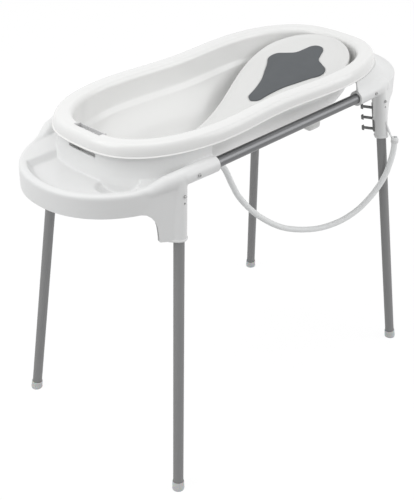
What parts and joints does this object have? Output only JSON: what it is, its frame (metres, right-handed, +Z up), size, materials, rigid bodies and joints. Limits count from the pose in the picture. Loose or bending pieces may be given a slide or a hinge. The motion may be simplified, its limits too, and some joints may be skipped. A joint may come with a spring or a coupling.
{
  "type": "baby bath on stand",
  "caption": "Oval baby bath with a drop-shaped bath seat and a drain hose, resting on a splayed-leg stand with a tray at one end.",
  "frame": {"origin": "on the floor under the middle of the bath", "axes": "+X along the bath towards the head end with the seat, +Y across it, +Z up"},
  "size_m": [1.152, 0.582, 0.86],
  "materials": {
    "white_plastic": "satin white",
    "bath_plastic": "glossy white",
    "grey_paint": "satin grey",
    "rail_metal": "satin metal",
    "cap_plastic": "matt light grey",
    "hose_plastic": "satin white",
    "mat_rubber": "matt dark grey",
    "shade_plastic": "matt grey",
    "spring_steel": "bright"
  },
  "bodies": {
    "stand": {"stand_end_foot": "white_plastic", "stand_end_head": "white_plastic", "rail_near": "rail_metal", "rail_far": "rail_metal", "leg_1": "grey_paint", "leg_2": "grey_paint", "leg_3": "grey_paint", "leg_4": "grey_paint", "foot_cap_1": "cap_plastic", "foot_cap_2": "cap_plastic", "foot_cap_3": "cap_plastic", "foot_cap_4": "cap_plastic", "leg_spring_1": "spring_steel", "leg_spring_2": "spring_steel", "leg_spring_3": "spring_steel", "leg_spring_4": "spring_steel", "rail_screw_1": "spring_steel", "rail_screw_2": "spring_steel", "rail_screw_3": "spring_steel", "rail_screw_4": "spring_steel", "hose_rack": "shade_plastic", "hose_clip": "white_plastic", "drain_hose": "hose_plastic"},
    "tub": {"bath_tub": "bath_plastic", "overflow_grille": "bath_plastic", "drain_outlet": "shade_plastic", "drain_washer": "mat_rubber", "drain_nut": "shade_plastic"},
    "seat": {"bath_seat": "bath_plastic", "seat_mat": "mat_rubber", "seat_foot_1": "mat_rubber", "seat_foot_2": "mat_rubber", "seat_foot_3": "mat_rubber", "seat_foot_4": "mat_rubber"},
    "plug": {"drain_plug": "shade_plastic"},
    "button_1": {"leg_button_1": "rail_metal"},
    "button_2": {"leg_button_2": "rail_metal"},
    "button_3": {"leg_button_3": "rail_metal"},
    "button_4": {"leg_button_4": "rail_metal"}
  },
  "joints": [
    {"name": "tub_lift", "type": "slide", "parent": "stand", "child": "tub", "axis": [0, 0, 1], "range_m": [0, 0.08]},
    {"name": "seat_lift", "type": "slide", "parent": "tub", "child": "seat", "axis": [0, 0, 1], "range_m": [0, 0.12]},
    {"name": "plug_lift", "type": "slide", "parent": "tub", "child": "plug", "axis": [0, 0, 1], "range_m": [0, 0.03]},
    {"name": "button_1_press", "type": "slide", "parent": "stand", "child": "button_1", "axis": [-0.0047, 0.9959, -0.0905], "range_m": [0, 0.0035], "stiffness_N_per_m": 600, "springref_m": -0.001},
    {"name": "button_2_press", "type": "slide", "parent": "stand", "child": "button_2", "axis": [0.0047, 0.9959, -0.0905], "range_m": [0, 0.0035], "stiffness_N_per_m": 600, "springref_m": -0.001},
    {"name": "button_3_press", "type": "slide", "parent": "stand", "child": "button_3", "axis": [-0.0047, -0.9959, -0.0905], "range_m": [0, 0.0035], "stiffness_N_per_m": 600, "springref_m": -0.001},
    {"name": "button_4_press", "type": "slide", "parent": "stand", "child": "button_4", "axis": [0.0047, -0.9959, -0.0905], "range_m": [0, 0.0035], "stiffness_N_per_m": 600, "springref_m": -0.001}
  ]
}
